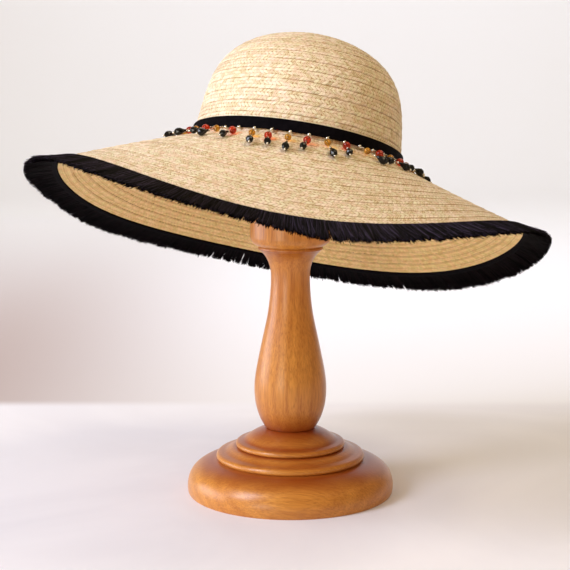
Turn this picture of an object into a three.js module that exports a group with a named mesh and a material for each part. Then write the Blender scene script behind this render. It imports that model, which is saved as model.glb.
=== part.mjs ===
// A floppy sun hat of sewn straw braid, resting on a turned wooden hat stand.
// Millimetres, +Z up. The origin is the centre of the stand's underside.
import * as THREE from "three";

const GAP = 0.3;
const DEGREE = Math.PI / 180;
const FULL_TURN = 2 * Math.PI;

// How the hat sits: the middle of the seam between crown and brim, and the way it leans.
const seat = { right: 4.5, back: -9.7, up: 271.7, rightSideDown: 9.3, backDown: 12.1 };

// The crown is an oval dome with upright walls and a low round top. Its half width and half
// depth are taken at the seam with the brim. The wall roundness bends the walls in towards the
// top, and the top roundness spreads the round of the top.
const crown = {
  halfWidth: 81.8,
  halfDepth: 102.3,
  height: 92.9,
  wallRoundness: 4.9,
  topRoundness: 1.7,
  narrowing: 0.121,
  wall: 1.6,
  skirt: 2.9,
  rows: 10,
  rowSpread: 0.65,
};

// The brim leaves the crown's foot a little below the seam and falls outwards.
// The thickness of the brim, its binding and its fringe is measured straight down.
const brim = { reach: 106, thickness: 1.9, drop: 1.3, rows: 5 };

// One row for each eighth of a turn, from the right side by the back, with the downward
// slope in degrees where the brim leaves the crown, at the straw's edge, and in the fringe.
const brimFolds = [
  { bearing: 0, slopeAtCrown: 22.9, slopeAtEdge: 22.8, slopeOfFringe: 22.7 },
  { bearing: 45, slopeAtCrown: 35.1, slopeAtEdge: 37.5, slopeOfFringe: 28.6 },
  { bearing: 90, slopeAtCrown: 37.6, slopeAtEdge: 35.3, slopeOfFringe: 31.1 },
  { bearing: 135, slopeAtCrown: 36.1, slopeAtEdge: 31.1, slopeOfFringe: 29.5 },
  { bearing: 180, slopeAtCrown: 23.4, slopeAtEdge: 26.2, slopeOfFringe: 22.0 },
  { bearing: 225, slopeAtCrown: 23.0, slopeAtEdge: 27.3, slopeOfFringe: 17.6 },
  { bearing: 270, slopeAtCrown: 39.4, slopeAtEdge: 38.9, slopeOfFringe: 30.8 },
  { bearing: 315, slopeAtCrown: 26.1, slopeAtEdge: 22.4, slopeOfFringe: 12.1 },
];

const band = { height: 8.7, thickness: 1.2 };
const binding = { width: 4.5, thickness: 3 };
const fringe = {
  reach: 20,
  rootThickness: 2,
  tipThickness: 1,
  gap: 0.6,
  raggedness: 0.05,
  raggedStep: 2.4,
};

// Across one lock of the fringe: the share of the full reach at its notch and at its two tips.
const lockShape = [
  { part: "notch", share: 0.72 },
  { part: "near tip", share: 0.97 },
  { part: "far tip", share: 1.0 },
];

// A drop of the bead trim, from the band outwards: a round bead, a neck and a pear. The
// amber drops and the red ones have the same radii, but the amber ones are longer.
const drop = { count: 44, start: 5.2, firstBearing: 264.1, sides: 9, lift: 0.3 };
const dropProfile = [
  { alongAmber: 0, alongRed: 0, radius: 0 },
  { alongAmber: 1.2, alongRed: 1.2, radius: 2.4 },
  { alongAmber: 4.8, alongRed: 4.8, radius: 2.4 },
  { alongAmber: 7.2, alongRed: 6.6, radius: 0.8 },
  { alongAmber: 10.6, alongRed: 7.6, radius: 1.5 },
  { alongAmber: 16.4, alongRed: 12.2, radius: 2.7 },
  { alongAmber: 19.0, alongRed: 14.6, radius: 1.8 },
  { alongAmber: 20.6, alongRed: 16.0, radius: 0 },
];

// The drops in front, counted from the middle one towards the right: how far from the crown
// each one starts, how far it lies aside to the right, and how many degrees its tip lies
// askew to the right.
const frontDrops = [
  { place: -6, start: 5.9, aside: 0, lean: -12 },
  { place: -5, start: 4.4, aside: -1.7, lean: -15 },
  { place: -4, start: 5.5, aside: -1.3, lean: -8 },
  { place: -3, start: 7.4, aside: 1.9, lean: -8 },
  { place: -2, start: 8.5, aside: 2.5, lean: 22 },
  { place: -1, start: 8.5, aside: 0, lean: 17 },
  { place: 0, start: 6.3, aside: -0.3, lean: 2 },
  { place: 1, start: 6.0, aside: -0.6, lean: -17 },
  { place: 2, start: 4.2, aside: -1.5, lean: 9 },
  { place: 3, start: 3.4, aside: 0, lean: -8 },
  { place: 4, start: 4.6, aside: 1.5, lean: 42 },
  { place: 5, start: 3.0, aside: 2.0, lean: 30 },
  { place: 6, start: 4.2, aside: 1.0, lean: 22 },
  { place: 7, start: 5.5, aside: 1.0, lean: 8 },
  { place: 8, start: 6.0, aside: 0, lean: -12 },
];

// All other drops lean a little to either side, by a wave that runs on from drop to drop.
const otherDrops = { mostLean: 7, waveStep: 2.1 };

// The stand, turned about its axis. Each row is one turned section, from the floor up.
const standSides = 24;
const baseSections = [
  { part: "foot edge", radius: 82.0, height: 0 },
  { part: "side", radius: 83.0, height: 4.9 },
  { part: "side", radius: 82.6, height: 9.7 },
  { part: "round", radius: 80.8, height: 15.0 },
  { part: "round", radius: 77.1, height: 19.7 },
  { part: "top", radius: 71.3, height: 23.5 },
  { part: "crease", radius: 58.2, height: 27.2 },
  { part: "big ring", radius: 59.3, height: 29.4 },
  { part: "big ring", radius: 56.5, height: 32.2 },
  { part: "crease", radius: 42.5, height: 37.0 },
  { part: "small ring", radius: 43.4, height: 39.0 },
  { part: "small ring", radius: 40.8, height: 41.2 },
  { part: "cone", radius: 32.5, height: 46.4 },
  { part: "cone", radius: 19.6, height: 52.3 },
];
const postSections = [
  { part: "foot", radius: 20.2, height: 52.6 },
  { part: "belly", radius: 25.0, height: 61.8 },
  { part: "belly", radius: 28.0, height: 72.5 },
  { part: "belly", radius: 28.9, height: 85.2 },
  { part: "belly", radius: 27.5, height: 98.8 },
  { part: "neck", radius: 23.0, height: 121.6 },
  { part: "neck", radius: 18.2, height: 144.3 },
  { part: "waist", radius: 15.9, height: 163.6 },
  { part: "waist", radius: 15.6, height: 177.3 },
  { part: "flare", radius: 17.2, height: 185.5 },
  { part: "flare", radius: 22.4, height: 194.2 },
  { part: "bead", radius: 25.6, height: 196.6 },
  { part: "groove", radius: 25.2, height: 198.8 },
  { part: "collar", radius: 30.6, height: 202.4 },
  { part: "collar", radius: 32.0, height: 207.0 },
  { part: "collar top", radius: 32.0, height: 232.0 },
];
const head = { neckRadius: 24, neckTop: 262, domeRadius: 52, domeSteps: 6, lowestTilt: -28 };

const columns = 48;

const colours = {
  wood: { color: 0xb9763a, roughness: 0.45, metalness: 0 },
  straw: { color: 0xdfc795, roughness: 0.85, metalness: 0 },
  ribbon: { color: 0x121018, roughness: 0.8, metalness: 0 },
  fringe: { color: 0x0e0e12, roughness: 0.9, metalness: 0 },
  amber: { color: 0xc8861e, roughness: 0.15, metalness: 0 },
  red: { color: 0xb5301a, roughness: 0.15, metalness: 0 },
};

// A column of an evenly spaced table, read smoothly at any bearing by the sum of waves
// that passes through all of its rows.
function around(rows, column, bearing) {
  const count = rows.length;
  let total = 0;
  for (const row of rows) {
    const away = bearing - row.bearing * DEGREE;
    let weight = 1 + Math.cos((count / 2) * away);
    for (let wave = 1; wave < count / 2; wave++) weight += 2 * Math.cos(wave * away);
    total += (row[column] * weight) / count;
  }
  return total;
}

// The crown's radius at a share of its height, as a share of its radius at the seam.
function crownShare(heightShare) {
  const rounding = (1 - heightShare ** crown.wallRoundness) ** (1 / crown.topRoundness);
  return rounding * (1 - crown.narrowing * heightShare);
}

// Shares of the crown's height from the seam to the top, closer together where it curves more.
function climbShare(index, steps) {
  return Math.sin((index / steps) * 90 * DEGREE) ** crown.rowSpread;
}

// A point of the crown's oval, pushed out or in by an offset.
function crownPoint(bearing, heightShare, offset) {
  const share = crownShare(Math.max(heightShare, 0));
  return new THREE.Vector3(
    (crown.halfWidth + offset) * share * Math.cos(bearing),
    (crown.halfDepth + offset) * share * Math.sin(bearing),
    (crown.height + offset) * heightShare,
  );
}

// The level direction straight away from the crown's oval.
function outwards(bearing) {
  return new THREE.Vector3(
    Math.cos(bearing) / crown.halfWidth,
    Math.sin(bearing) / crown.halfDepth,
    0,
  ).normalize();
}

// A point on the brim's upper side at a distance along its slope, lifted off it by a height.
// Past the straw's edge the surface goes on at the fringe's own slope.
function brimPoint(bearing, distance, lift) {
  const first = around(brimFolds, "slopeAtCrown", bearing) * DEGREE;
  const last = around(brimFolds, "slopeAtEdge", bearing) * DEGREE;
  const beyond = around(brimFolds, "slopeOfFringe", bearing) * DEGREE;
  const onStraw = Math.min(distance, brim.reach);
  const middle = first + ((last - first) * onStraw) / brim.reach / 2;
  const past = Math.max(distance - brim.reach, 0);
  const slope = past > 0 ? beyond : 2 * middle - first;
  const out = onStraw * Math.cos(middle) + past * Math.cos(beyond) + lift * Math.sin(slope);
  const down = onStraw * Math.sin(middle) + past * Math.sin(beyond) - lift * Math.cos(slope);
  const root = new THREE.Vector3(
    crown.halfWidth * Math.cos(bearing),
    crown.halfDepth * Math.sin(bearing),
    -brim.drop,
  );
  return root.addScaledVector(outwards(bearing), out).add(new THREE.Vector3(0, 0, -down));
}

// A closed skin over a list of rings, each an array of points or one pole point.
// The rings run up the outer side and down the inner side; the last may join the first.
function skin(rings, joinEnds) {
  const positions = [];
  const indices = [];
  const starts = rings.map((ring) => {
    const start = positions.length / 3;
    for (const point of ring) positions.push(point.x, point.y, point.z);
    return start;
  });
  const links = rings.length - (joinEnds ? 0 : 1);
  for (let i = 0; i < links; i++) {
    const next = (i + 1) % rings.length;
    const low = rings[i].length;
    const high = rings[next].length;
    const corners = Math.max(low, high);
    for (let j = 0; j < corners && corners > 1; j++) {
      const k = (j + 1) % corners;
      if (low > 1) indices.push(starts[i] + j, starts[i] + k, starts[next] + (high > 1 ? k : 0));
      if (high > 1) indices.push(starts[i] + (low > 1 ? j : 0), starts[next] + k, starts[next] + j);
    }
  }
  const geometry = new THREE.BufferGeometry();
  geometry.setAttribute("position", new THREE.Float32BufferAttribute(positions, 3));
  geometry.setIndex(indices);
  geometry.computeVertexNormals();
  return geometry;
}

function ring(count, pointAt) {
  return Array.from({ length: count }, (_, i) => pointAt((i * FULL_TURN) / count, i));
}

// A solid turned about +Z from rows of radius and height, closed on the axis at both ends.
function turned(sections, sides) {
  const outline = sections.map((row) => new THREE.Vector2(row.radius, row.height));
  const first = outline[0];
  const last = outline[outline.length - 1];
  if (first.x > 0) outline.unshift(new THREE.Vector2(0, first.y));
  if (last.x > 0) outline.push(new THREE.Vector2(0, last.y));
  return new THREE.LatheGeometry(outline, sides).rotateX(90 * DEGREE);
}

function named(name, geometry, colour) {
  const mesh = new THREE.Mesh(geometry, new THREE.MeshStandardMaterial(colour));
  mesh.name = name;
  return mesh;
}

function crownGeometry() {
  const outer = [ring(columns, (b) => crownPoint(b, 0, 0).setZ(-crown.skirt))];
  const inner = [ring(columns, (b) => crownPoint(b, 0, -crown.wall).setZ(-crown.skirt))];
  for (let i = 0; i < crown.rows; i++) {
    const share = climbShare(i, crown.rows);
    outer.push(ring(columns, (b) => crownPoint(b, share, 0)));
    inner.push(ring(columns, (b) => crownPoint(b, share, -crown.wall)));
  }
  outer.push([crownPoint(0, 1, 0)]);
  inner.push([crownPoint(0, 1, -crown.wall)]);
  return skin([...outer, ...inner.reverse()], true);
}

// A point of the brim's upper side raised or lowered from the middle of the brim's thickness.
function levelPoint(bearing, distance, rise) {
  const point = brimPoint(bearing, distance, 0);
  point.z += rise - brim.thickness / 2;
  return point;
}

// A ring of the hat between two distances along the brim.
function brimRing(from, to, rows, thickness) {
  const upper = [];
  const lower = [];
  for (let i = 0; i <= rows; i++) {
    const distance = from + ((to - from) * i) / rows;
    upper.push(ring(columns, (b) => levelPoint(b, distance, thickness / 2)));
    lower.push(ring(columns, (b) => levelPoint(b, distance, -thickness / 2)));
  }
  return skin([...lower, ...upper.reverse()], true);
}

function bandGeometry() {
  const inside = GAP;
  const outside = GAP + band.thickness;
  const topShare = band.height / crown.height;
  const at = (share, offset) => (b) => crownPoint(b, share, offset);
  return skin(
    [
      ring(columns, at(0, outside)),
      ring(columns, at(topShare, outside)),
      ring(columns, at(topShare, inside)),
      ring(columns, at(0, inside)),
    ],
    true,
  );
}

// The fringe: a continuous root strip whose outer edge is cut into pointed locks.
function fringeGeometry() {
  const from = brim.reach + GAP + binding.width + fringe.gap;
  const cuts = columns * lockShape.length;
  const reachAt = (i) => {
    const lock = Math.floor(i / lockShape.length);
    const uneven = 1 - fringe.raggedness * (1 + Math.sin(lock * fringe.raggedStep));
    return fringe.reach * lockShape[i % lockShape.length].share * uneven;
  };
  const level = (distanceAt, rise) => ring(cuts, (b, i) => levelPoint(b, distanceAt(i), rise));
  const start = () => from;
  const tip = (i) => from + reachAt(i);
  return skin(
    [
      level(start, -fringe.rootThickness / 2),
      level(tip, -fringe.tipThickness / 2),
      level(tip, fringe.tipThickness / 2),
      level(start, fringe.rootThickness / 2),
    ],
    true,
  );
}

// Bearings that divide the crown's oval into equal lengths, starting from a given bearing.
function evenBearings(count, start) {
  const steps = 3600;
  const lengths = [0];
  const at = (i) => crownPoint(start + (i * FULL_TURN) / steps, 0, 0);
  for (let i = 1; i <= steps; i++) lengths.push(lengths[i - 1] + at(i).distanceTo(at(i - 1)));
  const whole = lengths[steps];
  return Array.from({ length: count }, (_, k) => {
    const wanted = (k * whole) / count;
    const i = lengths.findIndex((length) => length >= wanted);
    return start + (i * FULL_TURN) / steps;
  });
}

// Where the drop at a place starts, and how far it lies aside and askew.
function layOf(place) {
  const listed = frontDrops.find((row) => row.place === place);
  const { mostLean, waveStep } = otherDrops;
  return listed ?? { start: drop.start, aside: 0, lean: mostLean * Math.sin(place * waveStep) };
}

function beadDrop(index, bearing) {
  const place = index > drop.count / 2 ? index - drop.count : index;
  const amber = place % 2 === 0;
  const column = amber ? "alongAmber" : "alongRed";
  const profile = dropProfile.map((row) => ({ radius: row.radius, height: row[column] }));
  const name = "bead_drop_" + String(index + 1).padStart(2, "0");
  const mesh = named(name, turned(profile, drop.sides), amber ? colours.amber : colours.red);
  const length = profile[profile.length - 1].height;
  const lift = Math.max(...profile.map((row) => row.radius)) + drop.lift;
  const { start, aside, lean } = layOf(place);
  const near = brimPoint(bearing, start, lift);
  const along = brimPoint(bearing, start + length, lift).sub(near).normalize();
  const up = brimPoint(bearing, start, lift + 1).sub(near).normalize();
  const right = up.clone().cross(along);
  near.addScaledVector(right, aside);
  along.applyAxisAngle(up, lean * DEGREE);
  mesh.position.copy(near);
  mesh.quaternion.setFromUnitVectors(new THREE.Vector3(0, 0, 1), along);
  return mesh;
}

function hatGroup() {
  const hat = new THREE.Group();
  hat.position.set(seat.right, seat.back, seat.up);
  hat.rotation.set(-seat.backDown * DEGREE, seat.rightSideDown * DEGREE, 0, "YXZ");
  hat.add(named("crown", crownGeometry(), colours.straw));
  hat.add(named("brim", brimRing(GAP, brim.reach, brim.rows, brim.thickness), colours.straw));
  hat.add(named("hat_band", bandGeometry(), colours.ribbon));
  const edge = brim.reach + GAP;
  const tape = brimRing(edge, edge + binding.width, 1, binding.thickness);
  hat.add(named("edge_binding", tape, colours.ribbon));
  hat.add(named("fringe", fringeGeometry(), colours.fringe));
  const bearings = evenBearings(drop.count, drop.firstBearing * DEGREE);
  bearings.forEach((bearing, index) => hat.add(beadDrop(index, bearing)));
  return hat;
}

// The height of the dome's centre at which the dome just clears the inside of the leaning crown.
function domeCentreHeight(hat) {
  const reach = head.domeRadius + GAP;
  const stepsUp = 60;
  const stepsRound = 120;
  let lowest = Infinity;
  hat.updateMatrixWorld(true);
  for (let i = 0; i <= stepsUp; i++) {
    for (let j = 0; j < stepsRound; j++) {
      const point = crownPoint((j * FULL_TURN) / stepsRound, climbShare(i, stepsUp), -crown.wall);
      point.applyMatrix4(hat.matrixWorld);
      const aside = Math.hypot(point.x, point.y);
      const height = point.z - Math.sqrt(Math.max(reach ** 2 - aside ** 2, 0));
      if (aside < reach) lowest = Math.min(lowest, height);
    }
  }
  return lowest;
}

function headGeometry(centreHeight) {
  const foot = postSections[postSections.length - 1].height + GAP;
  const sections = [
    { radius: head.neckRadius, height: foot },
    { radius: head.neckRadius, height: head.neckTop },
  ];
  for (let i = 0; i <= head.domeSteps; i++) {
    const tilt = (head.lowestTilt + ((90 - head.lowestTilt) * i) / head.domeSteps) * DEGREE;
    const radius = i < head.domeSteps ? head.domeRadius * Math.cos(tilt) : 0;
    sections.push({ radius, height: centreHeight + head.domeRadius * Math.sin(tilt) });
  }
  return turned(sections, standSides);
}

const hat = hatGroup();
const stand = new THREE.Group();
stand.add(named("stand_base", turned(baseSections, standSides), colours.wood));
stand.add(named("stand_post", turned(postSections, standSides), colours.wood));
stand.add(named("stand_head", headGeometry(domeCentreHeight(hat)), colours.wood));

const group = new THREE.Group();
group.add(stand, hat);

export default group;
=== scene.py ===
# %% [markdown]
# # A floppy sun hat on a turned wooden hat stand
# The solid model gives every piece its size and place. This script dresses it: sewn straw
# braid, a ribbon band with bead drops, a frayed black edge, and a varnished wooden stand.
# Everything is in metres, and most sizes below are written in millimetres times MM.

# %% Load the frame
from math import cos, pi, radians, sin

import bpy
import numpy as np
from mathutils import Matrix, Vector


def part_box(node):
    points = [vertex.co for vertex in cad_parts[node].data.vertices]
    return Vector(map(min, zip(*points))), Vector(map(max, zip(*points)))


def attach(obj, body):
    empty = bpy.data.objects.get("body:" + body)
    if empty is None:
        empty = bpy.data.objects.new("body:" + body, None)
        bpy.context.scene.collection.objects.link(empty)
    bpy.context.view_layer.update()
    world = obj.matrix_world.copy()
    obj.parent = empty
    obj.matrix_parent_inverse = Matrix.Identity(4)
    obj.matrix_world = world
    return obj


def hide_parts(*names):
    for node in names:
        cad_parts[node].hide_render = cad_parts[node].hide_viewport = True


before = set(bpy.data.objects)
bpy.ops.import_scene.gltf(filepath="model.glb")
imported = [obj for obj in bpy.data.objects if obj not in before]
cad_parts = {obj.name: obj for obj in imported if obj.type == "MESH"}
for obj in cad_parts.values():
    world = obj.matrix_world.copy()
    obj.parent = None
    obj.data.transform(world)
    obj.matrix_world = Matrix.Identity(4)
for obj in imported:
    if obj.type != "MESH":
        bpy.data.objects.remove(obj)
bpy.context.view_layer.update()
MM = 0.001
FULL_TURN = 2 * pi

# %% [markdown]
# ## The camera
# The picture is square. The camera stands over a metre in front of the stand, a little under
# the height of the crown, and looks slightly down. A long lens keeps the brim's oval calm.

# %% Camera
picture_pixels = 570
focal_pixels = 1480.6
sensor_mm = 36
camera_place = Vector((-4.3 * MM, -1164 * MM, 345 * MM))
look_down_degrees = 8.66

bpy.ops.object.camera_add(location=camera_place)
camera = bpy.context.object
camera.name = "camera"
camera.rotation_euler = (radians(90 - look_down_degrees), 0, 0)
camera.data.sensor_width = sensor_mm
camera.data.lens = focal_pixels / picture_pixels * sensor_mm
camera.data.clip_start = 10 * MM
bpy.context.scene.camera = camera
bpy.context.scene.view_settings.view_transform = "Standard"
print("lens:", round(camera.data.lens, 2), "mm")

# %% [markdown]
# ## Small helpers
# Operators act on whatever is selected, so every step starts from a clean selection.

# %% Helpers for objects
def select_only(piece):
    """Leaves edit mode and makes this the only selected object."""
    if bpy.context.object is not None and bpy.context.object.mode != "OBJECT":
        bpy.ops.object.mode_set(mode="OBJECT")
    bpy.ops.object.select_all(action="DESELECT")
    if piece is not None:
        piece.select_set(True)
        bpy.context.view_layer.objects.active = piece


def edit_all(piece):
    """Opens a piece in edit mode with everything selected."""
    select_only(piece)
    bpy.ops.object.mode_set(mode="EDIT")
    bpy.ops.mesh.select_all(action="SELECT")


def face_outwards(piece):
    """Turns all faces of a piece outwards."""
    edit_all(piece)
    bpy.ops.mesh.normals_make_consistent(inside=False)
    select_only(piece)


def weld(piece, crease_degrees):
    """Merges doubled vertices, turns faces outwards, and smooths all but the sharper creases."""
    edit_all(piece)
    bpy.ops.mesh.remove_doubles(threshold=0.01 * MM)
    face_outwards(piece)
    bpy.ops.object.shade_smooth_by_angle(angle=radians(crease_degrees))


def join(pieces, name):
    """Joins several pieces into one and names it."""
    select_only(pieces[0])
    for piece in pieces:
        piece.select_set(True)
    bpy.ops.object.join()
    pieces[0].name = name
    pieces[0].data.name = name
    return pieces[0]


def vertices_of(mesh):
    places = np.empty(len(mesh.vertices) * 3)
    mesh.vertices.foreach_get("co", places)
    return places.reshape(-1, 3)


def set_vertices(mesh, places):
    mesh.vertices.foreach_set("co", np.ascontiguousarray(places, np.float32).ravel())
    mesh.update()


def lay_map(mesh, name, spread):
    """Writes the mesh's UV map from one pair of numbers for each vertex."""
    corner = np.empty(len(mesh.loops), int)
    mesh.loops.foreach_get("vertex_index", corner)
    layer = mesh.uv_layers[0] if mesh.uv_layers else mesh.uv_layers.new()
    layer.name = name
    layer.data.foreach_set("uv", spread[corner].astype(np.float32).ravel())


def flat_grid(columns, levels):
    """A flat grid, and the column and the level of each of its vertices."""
    select_only(None)
    bpy.ops.mesh.primitive_grid_add(x_subdivisions=columns, y_subdivisions=levels, size=2)
    grid = bpy.context.object
    flat = vertices_of(grid.data)
    column = np.rint((flat[:, 0] + 1) / 2 * columns).astype(int)
    level = np.rint((flat[:, 1] + 1) / 2 * levels).astype(int)
    return grid, column, level


def triangles(piece):
    return sum(len(face.vertices) - 2 for face in piece.data.polygons)


# %% Helpers for materials
def node(tree, kind, inputs=None, **settings):
    """Adds a shader node, sets its options, and wires or fills the inputs named."""
    made = tree.nodes.new("ShaderNode" + kind)
    for name, value in settings.items():
        setattr(made, name, value)
    for key, value in (inputs or {}).items():
        if isinstance(value, bpy.types.NodeSocket):
            tree.links.new(value, made.inputs[key])
        else:
            made.inputs[key].default_value = value
    return made


def maths(tree, operation, first, second=0.0, clamp=False):
    inputs = {0: first, 1: second}
    return node(tree, "Math", inputs, operation=operation, use_clamp=clamp).outputs[0]


def ramp(tree, value, low, high, to_low=0.0, to_high=1.0):
    """A value taken smoothly from one range to another, and held at both ends."""
    inputs = {"Value": value, "From Min": low, "From Max": high, "To Min": to_low, "To Max": to_high}
    return node(tree, "MapRange", inputs, interpolation_type="SMOOTHSTEP").outputs[0]


def mix(tree, factor, first, second, blend="MIX"):
    """Mixes two colours, each of them a socket or three plain numbers."""
    first, second = ((*one, 1) if isinstance(one, tuple) else one for one in (first, second))
    inputs = {0: factor, 6: first, 7: second}
    return node(tree, "Mix", inputs, data_type="RGBA", blend_type=blend).outputs[2]


def object_place(tree):
    return node(tree, "TexCoord").outputs["Object"]


def noise(tree, place, scale, detail=2.0, **more):
    """Smooth noise of about 0 to 1, with this many bumps to a metre."""
    inputs = {"Vector": place, "Scale": scale, "Detail": detail, **more}
    return node(tree, "TexNoise", inputs).outputs[0]


def emboss(tree, shader, height, strength, depth):
    """Lets a shader show a height as relief of this depth in metres."""
    bump = node(tree, "Bump", {"Strength": strength, "Distance": depth, "Height": height})
    tree.links.new(bump.outputs[0], shader.inputs["Normal"])


def linear(red, green, blue):
    """A colour as seen on a screen, 0 to 255, turned into the light that Blender adds up."""
    shares = (red / 255, green / 255, blue / 255)
    return tuple(s / 12.92 if s <= 0.04045 else ((s + 0.055) / 1.055) ** 2.4 for s in shares)


def new_material(name, **plain):
    """A material with one Principled shader, whose plain inputs are set here."""
    material = bpy.data.materials.new(name)
    material.use_nodes = True
    shader = material.node_tree.nodes["Principled BSDF"]
    for key, value in plain.items():
        shader.inputs[key.replace("_", " ")].default_value = value
    return material, material.node_tree, shader


def new_group(name, labels):
    """A shader node group that takes one vector and gives the numbers named."""
    group = bpy.data.node_groups.new(name, "ShaderNodeTree")
    group.interface.new_socket("Vector", in_out="INPUT", socket_type="NodeSocketVector")
    for label in labels:
        group.interface.new_socket(label, in_out="OUTPUT", socket_type="NodeSocketFloat")
    entry = group.nodes.new("NodeGroupInput")
    leave = group.nodes.new("NodeGroupOutput")
    return group, entry.outputs["Vector"], leave


def dress(piece, materials, stands_for):
    """Gives a finished piece its materials and its body, and hides the solid model's nodes it stands
    for.
    """
    for index, material in enumerate(materials):
        if index == len(piece.data.materials):
            piece.data.materials.append(None)
        piece.data.materials[index] = material
    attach(piece, "root")
    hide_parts(*stands_for)
    print(piece.name, "has", triangles(piece), "triangles")


# %% [markdown]
# ## Floor and light
# A pale floor runs far back and curves up into a backdrop without a corner. A broad soft light
# from the upper left in front models the forms, and a second one low on the left stands for a
# window. Two weak fills and a warm surround keep the shadows open, and one more light falls on
# the backdrop alone.

# %% Floor and backdrop
floor_half_width = 3.2
floor_front = -3.4
floor_back = 2.6
backdrop_height = 2.6
sweep_radius = 0.9
sweep_steps = 16

select_only(None)
bpy.ops.mesh.primitive_plane_add(size=2, location=(0, 0, 0))
floor = bpy.context.object
floor.name = "floor"
edit_all(floor)
bpy.ops.transform.resize(value=(floor_half_width, (floor_back - floor_front) / 2, 1))
bpy.ops.transform.translate(value=(0, (floor_back + floor_front) / 2, 0))
bpy.ops.mesh.select_mode(type="EDGE")
bpy.ops.mesh.select_all(action="DESELECT")
bpy.ops.object.mode_set(mode="OBJECT")
for edge in floor.data.edges:
    edge.select = all(floor.data.vertices[v].co.y > floor_back - 10 * MM for v in edge.vertices)
bpy.ops.object.mode_set(mode="EDIT")
for step in range(sweep_steps):
    start = radians(90 * step / sweep_steps)
    end = radians(90 * (step + 1) / sweep_steps)
    back = sweep_radius * (sin(end) - sin(start))
    up = sweep_radius * (cos(start) - cos(end))
    bpy.ops.mesh.extrude_region_move(TRANSFORM_OT_translate={"value": (0, back, up)})
bpy.ops.mesh.extrude_region_move(TRANSFORM_OT_translate={"value": (0, 0, backdrop_height)})
select_only(floor)
bpy.ops.object.shade_smooth()

# The floor's own tone passes into the backdrop's behind the stand. The backdrop has a painted shade
# on its left, and is paler further back. The ends of each change are in metres.
near_end, back_start, back_pale = 0.285, 0.32, 2.4
left_shade_until, left_shade_gone_from = -0.4, 0.05
floor_material, tree, shader = new_material("pale floor", Roughness=0.6, Emission_Strength=0.06)
place = object_place(tree)
across = node(tree, "SeparateXYZ", {0: place})
far = ramp(tree, across.outputs["Y"], near_end, back_start)
veins = noise(tree, place, 3.0, 5.0, Distortion=1.2)
vein_share = ramp(tree, veins, 0.35, 0.65)
near_tone = mix(tree, vein_share, linear(229, 229, 238), linear(238, 238, 246))
# A painted shade darkens the low backdrop towards the left.
past_left_shade = ramp(tree, across.outputs["X"], left_shade_until, left_shade_gone_from)
low_back_with_painted_shade = mix(tree, past_left_shade, linear(174, 158, 155), linear(238, 239, 246))
further = ramp(tree, across.outputs["Y"], back_start, back_pale)
back_tone = mix(tree, further, low_back_with_painted_shade, linear(246, 249, 254))
tone = mix(tree, far, near_tone, back_tone)
tree.links.new(tone, shader.inputs["Base Color"])
tree.links.new(tone, shader.inputs["Emission Color"])
floor.data.materials.append(floor_material)
print("floor from", floor_front, "to", floor_back + sweep_radius)

# %% Lights
hat_middle = (0, 0, 0.26)


def soft_light(name, place, size, watts, colour, aim=hat_middle):
    """A glowing panel, given by its width and height, that faces the aim."""
    bpy.ops.object.light_add(type="AREA", location=place)
    light = bpy.context.object
    light.name = name
    light.data.shape = "RECTANGLE"
    light.data.size, light.data.size_y = size
    light.data.energy = watts
    light.data.color = colour
    light.rotation_euler = (Vector(aim) - Vector(place)).to_track_quat("-Z", "Y").to_euler()


select_only(None)
soft_light("key light", (-1.52, -0.93, 1.4), (0.7, 1.3), 35.5, (0.95, 1.0, 1.18))
soft_light("window light", (-1.5, 0.2, 0.2), (1.1, 0.8), 12.5, (0.97, 1.02, 1.14))
soft_light("low fill", (-0.9, -1.5, 0.12), (0.6, 0.4), 6.5, (1.0, 0.95, 0.82))
soft_light("top fill", (0.8, -0.4, 1.78), (0.8, 0.8), 9.5, (1.0, 0.86, 0.6))
soft_light(
    "backdrop light", (0.3, 0.8, 1.8), (1.8, 1.8), 28.5, (0.95, 1.0, 1.14), aim=(0.2, 3.5, 0.8))

world = bpy.data.worlds.new("soft surround")
bpy.context.scene.world = world
world.use_nodes = True
surround = world.node_tree.nodes["Background"]
surround.inputs["Color"].default_value = (1.0, 0.73, 0.4, 1)
surround.inputs["Strength"].default_value = 0.39

# %% [markdown]
# ## The wood
# A lathe cuts the post and the foot from one outline each, and Blender's spin does the same.
# Between the creases the outline is one smooth curve through a few measured sections.

# %% Outlines of the stand
smooth_steps = 7
lathe_steps = 128
stand_crease_degrees = 50

# Each outline is a list of smooth stretches of (radius, height) in millimetres.
foot_outline = [
    [(82.0, 0), (82.6, 1.2), (83.0, 4.9), (82.6, 9.7), (80.8, 15.0), (77.1, 19.7), (71.3, 23.5),
     (64.6, 25.9), (58.2, 27.2)],
    [(58.2, 27.2), (59.5, 28.6), (59.5, 30.4), (58.0, 32.1), (55.2, 32.8), (52.4, 33.4),
     (49.4, 35.0), (46.0, 36.4), (42.6, 37.0)],
    [(42.6, 37.0), (43.8, 38.3), (43.8, 40.0), (42.4, 41.4), (40.0, 41.9), (37.6, 42.6),
     (34.6, 44.9), (31.0, 47.3), (26.0, 49.9), (19.6, 52.3)],
]
post_outline = [
    [(19.9, 52.6), (21.3, 54.6), (25.0, 61.8), (28.0, 72.5), (28.9, 85.2), (27.5, 98.8),
     (23.0, 121.6), (18.2, 144.3), (15.9, 163.6), (15.6, 177.3), (17.2, 185.5), (20.6, 192.0),
     (24.6, 196.2)],
    [(24.6, 196.2), (25.7, 196.9), (25.7, 198.3), (25.2, 199.2)],
    [(25.2, 199.2), (28.0, 200.4), (30.6, 202.6), (31.8, 205.6), (32.0, 209.0), (32.0, 222.0),
     (32.0, 230.4), (31.4, 232.0)],
]


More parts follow.
